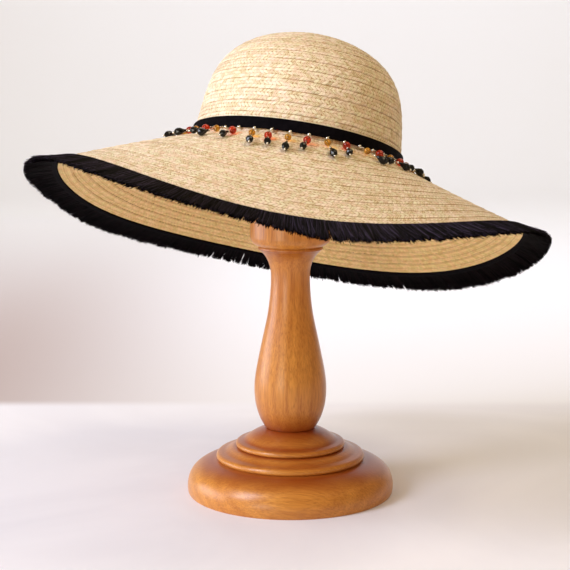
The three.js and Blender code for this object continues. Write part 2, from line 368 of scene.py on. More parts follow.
def smooth_chain(points, steps):
    """Points of a smooth curve through the given ones, by Catmull and Rom's rule."""
    rows = np.array(points, float)
    padded = np.vstack([2 * rows[0] - rows[1], rows, 2 * rows[-1] - rows[-2]])
    chain = [rows[0]]
    for a, b, c, d in zip(padded, padded[1:], padded[2:], padded[3:]):
        for step in range(1, steps + 1):
            t = step / steps
            blend = 2 * b + (c - a) * t + (2 * a - 5 * b + 4 * c - d) * t**2
            blend = blend + (3 * b - a - 3 * c + d) * t**3
            chain.append(blend / 2)
    return chain


def turn_on_lathe(name, outline):
    """A piece turned about the upright axis from its outline, closed flat at both ends."""
    points = [np.array((0, outline[0][0][1]), float)]
    for stretch in outline:
        points += smooth_chain(stretch, smooth_steps)
    points.append(np.array((0, outline[-1][-1][1]), float))
    chain = [points[0] * MM]
    for before, after in zip(points, points[1:]):
        if np.hypot(*(after - before)) > 1e-6:
            chain.append(after * MM)
    select_only(None)
    bpy.ops.mesh.primitive_plane_add(size=1 * MM, location=(0, 0, 0))
    piece = bpy.context.object
    piece.name = name
    edit_all(piece)
    bpy.ops.mesh.select_mode(type="VERT")
    bpy.ops.mesh.merge(type="CENTER")
    bpy.ops.transform.translate(value=(chain[0][0], 0, chain[0][1]))
    for before, after in zip(chain, chain[1:]):
        move = (after[0] - before[0], 0, after[1] - before[1])
        bpy.ops.mesh.extrude_region_move(TRANSFORM_OT_translate={"value": move})
    bpy.ops.mesh.select_all(action="SELECT")
    bpy.ops.mesh.spin(steps=lathe_steps, angle=FULL_TURN, center=(0, 0, 0), axis=(0, 0, 1))
    weld(piece, stand_crease_degrees)
    return piece


# %% Turn the stand
foot = turn_on_lathe("foot", foot_outline)
post = turn_on_lathe("post", post_outline)
head_low, head_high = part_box("stand_head")
dome_radius = head_high.x / MM
dome_top = head_high.z / MM
dome_lowest_tilt = -28
dome_highest_tilt = 88
dome_steps = 12
top_hole_radius = 0.3
tilts = np.radians(np.linspace(dome_lowest_tilt, dome_highest_tilt, dome_steps))
dome = [
    (dome_radius * cos(tilt), dome_top - dome_radius + dome_radius * sin(tilt)) for tilt in tilts]
neck = [(24, head_low.z / MM), (24, 245), (24, 258), (25.5, 266), (30, 272)]
head = turn_on_lathe("head", [neck, [neck[-1], dome[0]], dome + [(top_hole_radius, dome_top)]])
print("dome radius", round(dome_radius, 1), "top", round(dome_top, 1))

# %% [markdown]
# ## The finish of the wood
# The wood is a honey-brown hardwood under satin varnish. Its grain runs up the post and
# lies flat in the foot, which is cut from a plank. One node group makes the grain: long thin
# streaks from stretched noise, over slow bands where the growth rings are cut.

# %% Grain group
grain_group, entry, leave = new_group("wood grain", ["Tone", "Pores"])
tree = grain_group
ring_size = 9 * MM
along_share = 0.055
heart_offset = (0.031, 0.012, 0)
wander_reach = 0.011
ring_share, streak_share, pore_share = 0.18, 0.36, 0.36
stretching = {"Vector": entry, "Scale": (1, 1, along_share)}
stretched = node(tree, "Mapping", stretching).outputs[0]
drift = noise(tree, stretched, 28.0, 3.0)
bent = node(tree, "VectorMath", {0: stretched, 1: heart_offset}, operation="ADD")
parts = node(tree, "SeparateXYZ", {0: bent.outputs[0]})
squares = [maths(tree, "POWER", parts.outputs[axis], 2.0) for axis in "XY"]
reach = maths(tree, "SQRT", maths(tree, "ADD", *squares))
reach = maths(tree, "ADD", reach, maths(tree, "MULTIPLY", drift, wander_reach))
ring_place = maths(tree, "DIVIDE", reach, ring_size)
ring_wave = maths(tree, "SINE", maths(tree, "MULTIPLY", ring_place, FULL_TURN))
rings = maths(tree, "MULTIPLY_ADD", ring_wave, 0.5)
rings.node.inputs[2].default_value = 0.5
streaks = noise(tree, stretched, 620.0, 4.0, Roughness=0.6)
fine = noise(tree, stretched, 1500.0)
slow = maths(tree, "MULTIPLY", rings, ring_share)
middle = maths(tree, "MULTIPLY", ramp(tree, streaks, 0.3, 0.7), streak_share)
small = maths(tree, "MULTIPLY", fine, pore_share)
whole_tone = maths(tree, "ADD", maths(tree, "ADD", slow, middle), small, clamp=True)
tree.links.new(whole_tone, leave.inputs["Tone"])
tree.links.new(ramp(tree, fine, 0.50, 0.68), leave.inputs["Pores"])

# How dark the painted shade is by height in millimetres: shade is painted into the creases between
# the rings and into the hollows at both ends of the post.
painted_shade_by_height = [
    (18, 0.0), (26.4, 1.0), (28.4, 0.0), (31.4, 0.0), (33, 0.7), (35.6, 0.2), (37, 1.0),
    (38.4, 0.0), (40.8, 0.1), (42.2, 1.0), (45, 0.4), (52, 1.0), (57, 0.7), (68, 0.2),
    (84, 0.0), (186, 0.0), (197, 0.6), (200, 0.0),
]
painted_shade_top = 210


def wood_material(name, turn_degrees):
    """Varnished wood whose grain runs up Z, or is turned about Y by this many degrees."""
    material, tree, shader = new_material(
        name, Roughness=0.42, Specular_IOR_Level=0.15, Coat_Weight=0.7, Coat_Roughness=0.3)
    place = object_place(tree)
    turn = (0, radians(turn_degrees), 0)
    turned = node(tree, "Mapping", {"Vector": place, "Rotation": turn})
    grain = node(tree, "Group", node_tree=grain_group)
    tree.links.new(turned.outputs[0], grain.inputs["Vector"])
    tone = mix(tree, grain.outputs["Tone"], linear(223, 154, 66), linear(160, 88, 25))
    cloud_share = ramp(tree, noise(tree, place, 14.0), 0.35, 0.7, 0.0, 0.3)
    tone = mix(tree, cloud_share, tone, linear(182, 94, 24))
    # Shade is painted in by height: a darker red-brown in the creases and hollows listed above.
    height = node(tree, "SeparateXYZ", {0: place}).outputs["Z"]
    height_share = maths(tree, "DIVIDE", height, painted_shade_top * MM)
    painted_shade_ramp = node(tree, "ValToRGB", {0: height_share})
    stops = painted_shade_ramp.color_ramp.elements
    stops.remove(stops[1])
    for level, share in painted_shade_by_height:
        stops.new(level / painted_shade_top).color = (share, share, share, 1)
    painted_shade = maths(tree, "MULTIPLY", painted_shade_ramp.outputs[0], 0.9)
    tone = mix(tree, painted_shade, tone, linear(136, 46, 1))
    pores = maths(tree, "MULTIPLY", grain.outputs["Pores"], 0.22)
    tone = mix(tree, pores, tone, linear(118, 60, 24))
    tree.links.new(tone, shader.inputs["Base Color"])
    emboss(tree, shader, grain.outputs["Tone"], 0.12, 0.15 * MM)
    return material


upright_wood = wood_material("turned wood, upright grain", 0)
flat_wood = wood_material("turned wood, flat grain", 84)
dress(foot, [flat_wood], ["stand_base"])
dress(post, [upright_wood], ["stand_post"])
dress(head, [upright_wood], ["stand_head"])

# %% [markdown]
# ## The hat's shape
# The crown is an oval dome and the brim falls away from its foot, more steeply in front and
# behind than at the sides. These are the same sizes as the solid model's, so the straw lies
# where the solids are. A place on the hat is a bearing round it and a distance: upwards from
# the seam on the crown, outwards from the seam on the brim.

# %% Sizes of the hat
crown_half_width = 81.8 * MM
crown_half_depth = 102.3 * MM
crown_height = 92.9 * MM
wall_roundness = 4.9
top_roundness = 1.7
crown_narrowing = 0.121
brim_reach = 106 * MM
brim_drop = 1.3 * MM
seam_middle = Vector((4.5, -9.7, 271.7)) * MM
lean_right_degrees = 9.3
lean_back_degrees = 12.1

# Downward slopes in degrees at each eighth of a turn from the right side by the back:
# where the brim leaves the crown, at the straw's edge, and in the fringe.
slopes_at_crown = [22.9, 35.1, 37.6, 36.1, 23.4, 23.0, 39.4, 26.1]
slopes_at_edge = [22.8, 37.5, 35.3, 31.1, 26.2, 27.3, 38.9, 22.4]
slopes_of_fringe = [22.7, 28.6, 31.1, 29.5, 22.0, 17.6, 30.8, 12.1]

lean_right = Matrix.Rotation(radians(lean_right_degrees), 4, "Y")
lean_back = Matrix.Rotation(radians(-lean_back_degrees), 4, "X")
hat_place = Matrix.Translation(seam_middle) @ lean_right @ lean_back
hat_rows = np.array(hat_place)


def on_stand(points):
    """Points of the level hat, moved to where the hat sits on the stand."""
    return points @ hat_rows[:3, :3].T + hat_rows[:3, 3]


def all_round(slopes, bearing):
    """A slope at any bearing, by the sum of waves that passes through the eight given ones."""
    total = np.zeros_like(bearing)
    for index, slope in enumerate(slopes):
        away = bearing - index * FULL_TURN / len(slopes)
        weight = 1 + np.cos(len(slopes) / 2 * away)
        for wave in range(1, len(slopes) // 2):
            weight = weight + 2 * np.cos(wave * away)
        total = total + slope * weight / len(slopes)
    return np.radians(total)


def lengths_along(points):
    """How far each point of a chain is from the first one, along the chain."""
    return np.concatenate([[0], np.cumsum(np.linalg.norm(np.diff(points, axis=0), axis=1))])


def crown_point(bearing, height_share, offset):
    """A point at a share of the crown's height, pushed out by an offset."""
    within = np.clip(height_share, 0, 1)
    share = np.clip(1 - within**wall_roundness, 0, None) ** (1 / top_roundness)
    share = share * (1 - crown_narrowing * within)
    return np.stack([
        (crown_half_width + offset) * share * np.cos(bearing),
        (crown_half_depth + offset) * share * np.sin(bearing),
        (crown_height + offset) * height_share + 0 * bearing,
    ], -1)


def brim_point(bearing, distance, lift):
    """A point at a distance out along the brim, lifted off its upper side."""
    first = all_round(slopes_at_crown, bearing)
    last = all_round(slopes_at_edge, bearing)
    beyond = all_round(slopes_of_fringe, bearing)
    on_straw = np.minimum(distance, brim_reach)
    past = np.maximum(distance - brim_reach, 0)
    middle = first + (last - first) * on_straw / brim_reach / 2
    slope = np.where(past > 0, beyond, 2 * middle - first)
    out = on_straw * np.cos(middle) + past * np.cos(beyond) + lift * np.sin(slope)
    down = on_straw * np.sin(middle) + past * np.sin(beyond) - lift * np.cos(slope)
    away = np.stack([np.cos(bearing) / crown_half_width, np.sin(bearing) / crown_half_depth], -1)
    away = away / np.linalg.norm(away, axis=-1, keepdims=True)
    return np.stack([
        crown_half_width * np.cos(bearing) + away[..., 0] * out,
        crown_half_depth * np.sin(bearing) + away[..., 1] * out,
        -brim_drop - down,
    ], -1)


# The way up the front of the crown, as a table from length along the straw to height.
climb_angles = np.linspace(0, pi / 2, 2001)
climb_shares = np.sin(climb_angles) ** (2 / wall_roundness)
front_line = crown_point(np.full_like(climb_angles, -pi / 2), climb_shares, 0.0)
climb_lengths = lengths_along(front_line)
crown_climb = climb_lengths[-1]


def climb_point(bearing, climb, offset):
    """A point at a length up the crown from the seam, pushed out by an offset."""
    share = np.interp(climb, climb_lengths, climb_shares)
    point = crown_point(bearing, share, offset)
    point[..., 2] = np.where(climb < 0, climb, point[..., 2])
    return point


def even_bearings(ring_points, bearings, shares):
    """Bearings at shares of a closed ring's length, for evenly wide stitches, and its length."""
    lengths = lengths_along(np.vstack([ring_points, ring_points[:1]]))
    turns = np.floor(shares)
    wanted = (shares - turns) * lengths[-1]
    found = np.interp(wanted, lengths, np.append(bearings, FULL_TURN))
    return found + turns * FULL_TURN, lengths[-1]


print("up the crown:", round(crown_climb / MM, 1), "mm")

# %% [markdown]
# ## The straw braid
# The hat is one long flat braid, sewn round and round. A row of braid shows three courses
# of slanted straws, and the slant changes sides from course to course, which gives a zigzag.
# Each row laps over the next one outwards, so a small step marks every seam. A row starts as
# a flat grid. Code lays it round the hat with its columns in a zigzag, because no hand tool
# follows such a surface, and raises its middle points into plump straws.

# %% Braid sizes
row_width = 8.8 * MM
first_row_edge = 4.7 * MM
brim_rows = 11
courses = 3
straw_width = 3.3 * MM
fewest_straws = 8
straw_slant = 0.85
tuck = 0.35
braid_thickness = 0.8 * MM
proud_edge = -0.35 * MM
tucked_edge = -0.75 * MM
free_edge_sink = 0.15 * MM
plump = 0.33 * MM
uneven_place = 0.2
uneven_climb = 0.25 * MM
uneven_height = 0.4
sway_height = 0.12 * MM
sway_waves = (5, 11, 19)
straw_crease_degrees = 80

# How high a straw stands, as a share of plump: on its ridge in the middle of its course, on its
# ridge at the course's edge, beside the ridge in the middle, and in the corner between straws.
ridge_top, ridge_end, straw_side, straw_corner = 1.0, 0.3, -0.5, -0.95

# On the map of the braid, a straw is one wide and a course one high. A row has a band four high.
map_band = 4
map_shift = 400
random_straw = np.random.default_rng(12)
bearing_table = np.linspace(0, FULL_TURN, 720, endpoint=False)


def braid_row(surface, lower, upper, row_number, tucks):
    """One row of braid from its free lower edge to its upper edge under the next row."""
    middle = surface(bearing_table, np.full_like(bearing_table, (lower + upper) / 2), 0.0)
    girth = even_bearings(middle, bearing_table, np.zeros(1))[1]
    straws = max(fewest_straws, round(girth / straw_width))
    steps_up = 2 * courses + (1 if tucks else 0)
    row, column, level = flat_grid(2 * straws, steps_up)
    up = np.where(level > 2 * courses, courses + tuck, level / 2)
    zigzag = 1 - np.abs(up % 2 - 1)
    phase, *wave = random_straw.random(4)
    chance = random_straw.uniform(-1, 1, (3, steps_up + 1, 2 * straws))
    chance = chance[:, level, column % (2 * straws)]
    shares = (column / 2 + phase + straw_slant * zigzag + uneven_place * chance[0]) / straws
    bearing = even_bearings(middle, bearing_table, shares)[0]
    along = lower + (upper - lower) * up / courses + uneven_climb * chance[1]
    for index, waves in enumerate(sway_waves):
        along = along + sway_height * np.sin(waves * bearing + FULL_TURN * wave[index])
    ridge = column % 2 == 1
    mid_course = level % 2 == 1
    relief = np.select(
        [ridge & mid_course, ridge, mid_course], [ridge_top, ridge_end, straw_side], straw_corner)
    slope = proud_edge + (tucked_edge - proud_edge) * up / courses
    lift = slope + plump * relief * (1 + uneven_height * chance[2])
    lift = np.where(level == 0, slope - free_edge_sink, lift)
    set_vertices(row.data, on_stand(surface(bearing, along, lift)))
    up_map = np.where(level == 0, 0.5, up) + map_band * row_number
    lay_map(row.data, "braid", np.stack([column / 2 + map_shift * phase, up_map], -1))
    return row


def sewn_straw(name, surface, edges, first_number):
    """Rows of braid between these edges, each closed to a round, as one piece with a thickness.

    It gets two empty material slots, for the upper side and then for the under side.
    """
    last = len(edges) - 2
    rows = [
        braid_row(surface, lower, upper, first_number + number, tucks=number < last)
        for number, (lower, upper) in enumerate(zip(edges, edges[1:]))
    ]
    piece = join(rows, name)
    for side in range(2):
        piece.data.materials.append(None)
    edit_all(piece)
    bpy.ops.mesh.remove_doubles(threshold=0.02 * MM)
    select_only(piece)
    solid = piece.modifiers.new("thickness", "SOLIDIFY")
    solid.thickness = braid_thickness
    solid.offset = -1
    solid.material_offset = 1
    solid.material_offset_rim = 0
    bpy.ops.object.modifier_apply(modifier=solid.name)
    bpy.ops.object.shade_smooth_by_angle(angle=radians(straw_crease_degrees))
    return piece


# %% Lay the rows
lowest_edge = -2.6 * MM
top_hole = 0.05 * MM
least_last_row = 1.4
brim_start = 0.4 * MM
first_brim_number = 30

crown_edges = [lowest_edge, first_row_edge]
while crown_edges[-1] + least_last_row * row_width < crown_climb:
    crown_edges.append(crown_edges[-1] + row_width)
crown_edges.append(crown_climb - top_hole)
crown_straw = sewn_straw("crown_straw", climb_point, crown_edges, 0)
brim_edges = np.linspace(brim_reach, brim_start, brim_rows + 1)
brim_straw = sewn_straw("brim_straw", brim_point, brim_edges, first_brim_number)
print("rows on crown and brim:", len(crown_edges) - 1, brim_rows)

# %% [markdown]
# ## The finish of the straw
# Paper straw is cream and a little glossy, with tan flecks where a straw is older or turned
# in. The braid group reads the map laid on each row, where every straw has its own square.
# It darkens the gaps between straws and the fold down some of them, paints shade under the lap of
# each row, and gives each straw its own tone and fine fibres. On the under side the sewing thread
# shows too, and deeper, yellower tones paint in the warm shade under the brim.

# %% Braid group and straw materials
# Distances are in straws across and courses up, and depths are shares of the gap's full tone.
braid_group, spread, leave = new_group(
    "braid of straws", ["Gap", "Own Tone", "Fibre", "Painted Lap Shade", "Thread"])
tree = braid_group
lap_shade_start, lap_shade_full = 2.74, 2.9
thread_course = 1.5
square = node(tree, "SeparateXYZ", {0: spread})
inside = [maths(tree, "FRACT", square.outputs[axis]) for axis in "XY"]
edge_u, edge_v = (
    maths(tree, "MINIMUM", one, maths(tree, "SUBTRACT", 1.0, one)) for one in inside)
side_gap = ramp(tree, edge_u, 0.02, 0.18, 0.58, 0.0)
end_gap = ramp(tree, edge_v, 0.0, 0.18, 0.5, 0.0)
corner_dot = ramp(tree, maths(tree, "ADD", edge_u, edge_v), 0.12, 0.4, 0.95, 0.0)
gaps = maths(tree, "MAXIMUM", maths(tree, "MAXIMUM", side_gap, end_gap), corner_dot)
# Painted shade: each row is darkened near its upper edge, just below the free edge of the next row.
row_place = maths(tree, "FLOORED_MODULO", square.outputs["Y"], float(map_band))
lap_shade = ramp(tree, row_place, lap_shade_start, lap_shade_full)
from_thread = maths(tree, "ABSOLUTE", maths(tree, "SUBTRACT", row_place, thread_course))
thread_line = ramp(tree, from_thread, 0.08, 0.2, 1.0, 0.0)
cell = node(tree, "VectorMath", {0: spread}, operation="FLOOR").outputs[0]
own = node(tree, "TexWhiteNoise", {"Vector": cell}, noise_dimensions="2D").outputs[0]
fine_place = node(tree, "Mapping", {"Vector": spread, "Scale": (9, 1.1, 1)}).outputs[0]
fibre = node(
    tree, "TexNoise", {"Vector": fine_place, "Scale": 1.0, "Detail": 2.0},
    noise_dimensions="2D").outputs[0]
off_fold = maths(tree, "ABSOLUTE", maths(tree, "SUBTRACT", inside[0], 0.5))
fold = maths(tree, "MULTIPLY", ramp(tree, off_fold, 0.02, 0.14, 0.9, 0.0), own)
gaps = maths(tree, "MAXIMUM", gaps, fold)
for value, socket in zip((gaps, own, fibre, lap_shade, thread_line), leave.inputs):
    tree.links.new(value, socket)


def straw_material(name, light_tone, dark_tone, gap_tone, gap_share, thread_share, gloss):
    """Straw in two tones, with its gaps and its sewing thread shown by these shares."""
    material, tree, shader = new_material(name, Roughness=0.5, Specular_IOR_Level=gloss)
    spread = node(tree, "UVMap", uv_map="braid")
    braid = node(tree, "Group", node_tree=braid_group)
    tree.links.new(spread.outputs[0], braid.inputs["Vector"])
    place = object_place(tree)
    darker = [
        ramp(tree, braid.outputs["Own Tone"], 0.3, 1.0, 0.0, 0.6),
        ramp(tree, noise(tree, place, 22.0, 3.0), 0.35, 0.75, 0.0, 0.15),
        ramp(tree, braid.outputs["Fibre"], 0.45, 0.75, 0.0, 0.35),
    ]
    tone = light_tone
    for share in darker:
        tone = mix(tree, share, tone, dark_tone)
    mottle = noise(tree, place, 230.0, 3.0)
    tint_share = ramp(tree, mottle, 0.4, 0.6)
    tint = mix(tree, tint_share, (1.0, 0.93, 0.88), (0.93, 0.96, 0.80))
    tone = mix(tree, 1.0, tone, tint, "MULTIPLY")
    gap_depth = ramp(tree, mottle, 0.38, 0.62, 0.62 * gap_share, gap_share)
    # The lap's painted shade is mixed in here, with the gaps and the thread.
    for label, share in (("Gap", gap_depth), ("Painted Lap Shade", 0.55 * gap_share), ("Thread", thread_share)):
        factor = maths(tree, "MULTIPLY", braid.outputs[label], share)
        tone = mix(tree, factor, tone, gap_tone)
    tree.links.new(tone, shader.inputs["Base Color"])
    height = maths(tree, "MULTIPLY", braid.outputs["Fibre"], 0.3)
    height = maths(tree, "SUBTRACT", height, braid.outputs["Gap"])
    emboss(tree, shader, height, 0.7, 0.4 * MM)
    return material


straw_outside = straw_material(
    "straw, upper side", linear(249, 237, 219), linear(232, 207, 170), linear(172, 126, 76),
    gap_share=1.0, thread_share=0.0, gloss=0.3)
# The under side is the same straw in deeper, yellower tones that paint in the warm shade under the
# brim.
straw_under_side_warm_shade = straw_material(
    "straw, under side, painted warm shade", linear(248, 220, 164), linear(234, 196, 132), linear(160, 106, 48),
    gap_share=0.42, thread_share=0.4, gloss=0.15)
dress(crown_straw, [straw_outside, straw_under_side_warm_shade], ["crown"])
dress(brim_straw, [straw_outside, straw_under_side_warm_shade], ["brim"])

# %% [markdown]
# ## Ribbon band and edge binding
# A narrow matt ribbon hides the seam between crown and brim. The straw's edge is bound with
# a tape of the same black, folded over it. Both have fine ribs across them. Each is a ring of
# rounded section: a strip of points swept once round the hat.

# %% Ribbon sizes and rings
ribbon_steps = 240
band_height = 8.7 * MM
band_inside = 0.3 * MM
band_outside = 1.5 * MM
tape_inner = brim_reach - 0.5 * MM
tape_outer = brim_reach + 3.9 * MM
tape_half_thickness = 1.45 * MM
corner_steps = 5
ribbon_crease_degrees = 60
ribs_a_step = 4


def swept_ring(name, section, point_at):
    """A closed ring from a section of (along, across) pairs, placed by point_at."""
    ring, column, level = flat_grid(ribbon_steps, len(section))
    ring.name = name
    along, across = np.array(section)[level % len(section)].T
    bearing = column / ribbon_steps * FULL_TURN
    set_vertices(ring.data, on_stand(point_at(bearing, along, across)))
    lay_map(ring.data, "ribbon", np.stack([column, level], -1))
    weld(ring, ribbon_crease_degrees)
    return ring


def rounded_section(start, end, low, high, radius):
    """Corners of a flat section, rounded, going round it once."""
    corners = [(end - radius, high - radius, 0), (start + radius, high - radius, 90),
               (start + radius, low + radius, 180), (end - radius, low + radius, 270)]
    points = []
    for along, across, first_angle in corners:
        for step in range(corner_steps):
            angle = radians(first_angle + 90 * step / (corner_steps - 1))
            points.append((along + radius * cos(angle), across + radius * sin(angle)))
    return points


band_edge_radius = 0.45 * MM
tape_edge_radius = 1.2 * MM
band_section = rounded_section(0.0, band_height, band_inside, band_outside, band_edge_radius)
band = swept_ring("ribbon_band", band_section, climb_point)
straw_middle = -0.95 * MM
tape_section = rounded_section(
    tape_inner, tape_outer, straw_middle - tape_half_thickness,
    straw_middle + tape_half_thickness, tape_edge_radius)
tape = swept_ring("edge_tape", tape_section, brim_point)

# %% Ribbon material
ribbon_material, tree, shader = new_material(
    "black ribbon", Roughness=0.8, Specular_IOR_Level=0.04)
spread = node(tree, "UVMap", uv_map="ribbon")
count = node(tree, "SeparateXYZ", {0: spread.outputs[0]})
ribs = maths(tree, "SINE", maths(tree, "MULTIPLY", count.outputs["X"], ribs_a_step * FULL_TURN))
dust_share = ramp(tree, noise(tree, object_place(tree), 260.0, 3.0), 0.3, 0.75)
tone = mix(tree, dust_share, linear(5, 3, 6), linear(13, 9, 13))
tree.links.new(tone, shader.inputs["Base Color"])
emboss(tree, shader, ribs, 0.35, 0.1 * MM)
dress(band, [ribbon_material], ["hat_band"])
dress(tape, [ribbon_material], ["edge_binding"])

# %% [markdown]
# ## The frayed fringe
# Some twenty-five thousand flat black strands stand out of the binding in two layers, combed
# outwards, in small locks that lean this way and that, with ragged ends. One strand is modelled
# and copied: a cone with three sides, cut across once so that it can bend along the brim.

# %% One strand
select_only(None)
bpy.ops.mesh.primitive_cone_add(vertices=3, radius1=1, radius2=0.55, depth=1, location=(0, 0, 0.5))
bpy.ops.object.transform_apply(location=True)
strand = bpy.context.object
strand.name = "strand"
edit_all(strand)
bpy.ops.mesh.bisect(plane_co=(0, 0, 0.5), plane_no=(0, 0, 1))
bpy.ops.mesh.select_all(action="SELECT")
bpy.ops.mesh.quads_convert_to_tris()
select_only(strand)
strand_points = vertices_of(strand.data)
strand_faces = np.array([face.vertices[:] for face in strand.data.polygons])
bpy.data.objects.remove(strand)
print("a strand has", len(strand_faces), "triangles")

# %% Comb the fringe
upper_start = brim_reach + 0.8 * MM
lower_start = brim_reach + 2.9 * MM
fringe_end = brim_reach + 23.9 * MM
fringe_locks = 430
lock_gather = 0.34
strand_half_width = 0.36 * MM
strand_half_depth = 0.22 * MM
strand_lean = 0.05
strand_uneven = 0.05
shortest_strand, longest_strand = 0.55, 1.06
narrowest_strand, widest_strand = 0.75, 1.2
usual_droop, uneven_droop = 0.6, 0.7
closing_up = 0.55
lock_chance = np.random.default_rng(9)
lock_leans = lock_chance.normal(0, 0.045, fringe_locks)
lock_lengths = lock_chance.uniform(0.89, 1.03, fringe_locks)

# Where the fringe was trimmed shorter, or left longer where the share is negative: the middle of
# the place and half its width as bearings in degrees, and the share of the length cut off.
trims = [
    (20, 15, 0.08), (100, 20, 0.08), (163, 14, 0.17), (254, 15, 0.30), (264, 6, 0.12),
    (278, 7, -0.14), (298, 18, -0.10), (346, 24, 0.14),
]


def combed_fringe(name, strands, seed, start, rise_low, rise_high):
    """Strands round the whole edge, from a start and between two heights above the straw."""
    generator = np.random.default_rng(seed)
    shares = (np.arange(strands) + generator.random(strands)) / strands
    ring = brim_point(bearing_table, np.full_like(bearing_table, start), 0.0)
    bearing, girth = even_bearings(ring, bearing_table, shares)
    lock = np.floor(shares * fringe_locks).astype(int) % fringe_locks
    to_middle = (np.floor(shares * fringe_locks) + 0.5) / fringe_locks - shares
    lean = lock_leans[lock] + generator.normal(0, strand_lean, strands)
    reach = fringe_end - start
    length = reach * (lock_lengths[lock] + generator.normal(0, strand_uneven, strands))
    length = np.clip(length, shortest_strand * reach, longest_strand * reach)
    for middle, half_width, share in trims:
        away = (np.degrees(bearing) - middle + 180) % 360 - 180
        length = length * (1 - share * np.exp(-((away / half_width) ** 2)))
    rise = generator.uniform(rise_low, rise_high, strands)
    droop = generator.normal(usual_droop, uneven_droop, strands) * MM
    width = generator.uniform(narrowest_strand, widest_strand, strands)
    along = strand_points[:, 2]
    distance = start + along * length[:, None]
    sideways = strand_points[:, 0] * strand_half_width * width[:, None]
    drift = np.tan(lean)[:, None] * length[:, None] * (along**1.5)
    gather = lock_gather * to_middle[:, None] * along * FULL_TURN
    turn = (sideways + drift) * FULL_TURN / girth + gather
    lift = rise[:, None] * (1 - closing_up * along) - droop[:, None] * along**2
    lift = lift + strand_points[:, 1] * strand_half_depth * width[:, None]
    points = brim_point(bearing[:, None] + turn, distance, lift)
    count = strand_points.shape[0]
    faces = (strand_faces[None] + (np.arange(strands) * count)[:, None, None]).reshape(-1, 3)
    mesh = bpy.data.meshes.new(name)
    mesh.from_pydata(on_stand(points.reshape(-1, 3)), [], faces)
    # A random share for each strand sets how much painted glint it gets.
    tint = mesh.attributes.new("strand_glint_share", "FLOAT", "POINT")
    tint.data.foreach_set("value", np.repeat(generator.random(strands), count).astype(np.float32))
    piece = bpy.data.objects.new(name, mesh)
    bpy.context.scene.collection.objects.link(piece)
    face_outwards(piece)
    return piece


upper_fringe = combed_fringe("fringe_upper", 13600, 5, upper_start, 0.5 * MM, 1.2 * MM)
lower_fringe = combed_fringe("fringe_lower", 12000, 6, lower_start, -1.9 * MM, -0.6 * MM)

# %% Strand materials
def strand_material(name, deep, painted_glint, gloss):
    """Black strands, some of them painted lighter as a glint where they catch the light."""
    material, tree, shader = new_material(name, Roughness=0.5, Specular_IOR_Level=gloss)
    own = node(tree, "Attribute", attribute_name="strand_glint_share")
    tone = mix(tree, ramp(tree, own.outputs["Fac"], 0.5, 1.0), deep, painted_glint)
    tree.links.new(tone, shader.inputs["Base Color"])
    return material


# One material in a lit copy and a shaded copy: the upper layer has brighter painted glints, and the
# under layer is darker, as painted shade.
upper_black_lit_copy = strand_material(
    "black strands, upper side, lit copy", linear(5, 4, 7), linear(56, 48, 66), 0.08)
lower_black_shaded_copy = strand_material(
    "black strands, under side, shaded copy", linear(2, 1, 2), linear(24, 14, 18), 0.015)
dress(upper_fringe, [upper_black_lit_copy], ["fringe"])
dress(lower_fringe, [lower_black_shaded_copy], ["fringe"])

# %% [markdown]
# ## The bead drops
# Forty-four short drops hang below the ribbon and lie on the brim. Each has a silver seed bead,
# a round glass bead in amber or red by turns, a tiny silver bead, a dark faceted pear and a
# silver tip, threaded on one wire. Two drops are modelled upright and copied to their places.

# %% Bead sizes and finishes
drop_count = 44
drop_start = 5.2 * MM
drop_length = 20.2 * MM
drop_axis_lift = 3.0 * MM
first_bearing = radians(264.1)
other_lean_degrees = 7
other_wave_step = 2.1
seed_radius = 1.4 * MM
seed_climb = -0.2 * MM
seed_out = 2.2 * MM
thread_radius = 0.3 * MM

# The drops in front, counted from the middle one towards the right: how far from the crown
# each starts and how far aside it lies, in millimetres, and how many degrees its tip lies askew.
front_drops = {
    -6: (5.9, 0.0, -12), -5: (4.4, -1.7, -15), -4: (5.5, -1.3, -8), -3: (7.4, 1.9, -8),
    -2: (8.5, 2.5, 22), -1: (8.5, 0.0, 17), 0: (6.3, -0.3, 2), 1: (6.0, -0.6, -17),
    2: (4.2, -1.5, 9), 3: (3.4, 0.0, -8), 4: (4.6, 1.5, 42), 5: (3.0, 2.0, 30),
    6: (4.2, 1.0, 22), 7: (5.5, 1.0, 8), 8: (6.0, 0.0, -12),
}

silver, tree, shader = new_material("silver bead", Metallic=1.0, Roughness=0.22)
shader.inputs["Base Color"].default_value = (*linear(222, 216, 204), 1)
pear_glass, tree, shader = new_material(
    "dark faceted glass", Roughness=0.1, Specular_IOR_Level=0.36)
cloud = noise(tree, object_place(tree), 300.0)
tone = mix(tree, cloud, linear(5, 6, 7), linear(16, 17, 19))
tree.links.new(tone, shader.inputs["Base Color"])


def bead_glass(name, deep, pale, glow):
    """Clear tinted glass, which lets light through to the straw in its own colour."""
    material, tree, shader = new_material(name, Roughness=0.05, IOR=1.5, Transmission_Weight=0.75)
    cloud = noise(tree, object_place(tree), 220.0)
    tone = mix(tree, ramp(tree, cloud, 0.35, 0.65), deep, pale)
    tree.links.new(tone, shader.inputs["Base Color"])
    clear = node(tree, "BsdfTransparent", {"Color": (*glow, 1)})
    in_shadow = node(tree, "LightPath").outputs["Is Shadow Ray"]
    inputs = {0: in_shadow, 1: shader.outputs[0], 2: clear.outputs[0]}
    both = node(tree, "MixShader", inputs)
    tree.links.new(both.outputs[0], tree.nodes["Material Output"].inputs["Surface"])
    return material


amber_glass = bead_glass(
    "amber glass", linear(186, 126, 18), linear(228, 176, 62), linear(255, 222, 120))
red_glass = bead_glass(
    "red glass", linear(176, 26, 8), linear(224, 74, 26), linear(255, 160, 100))

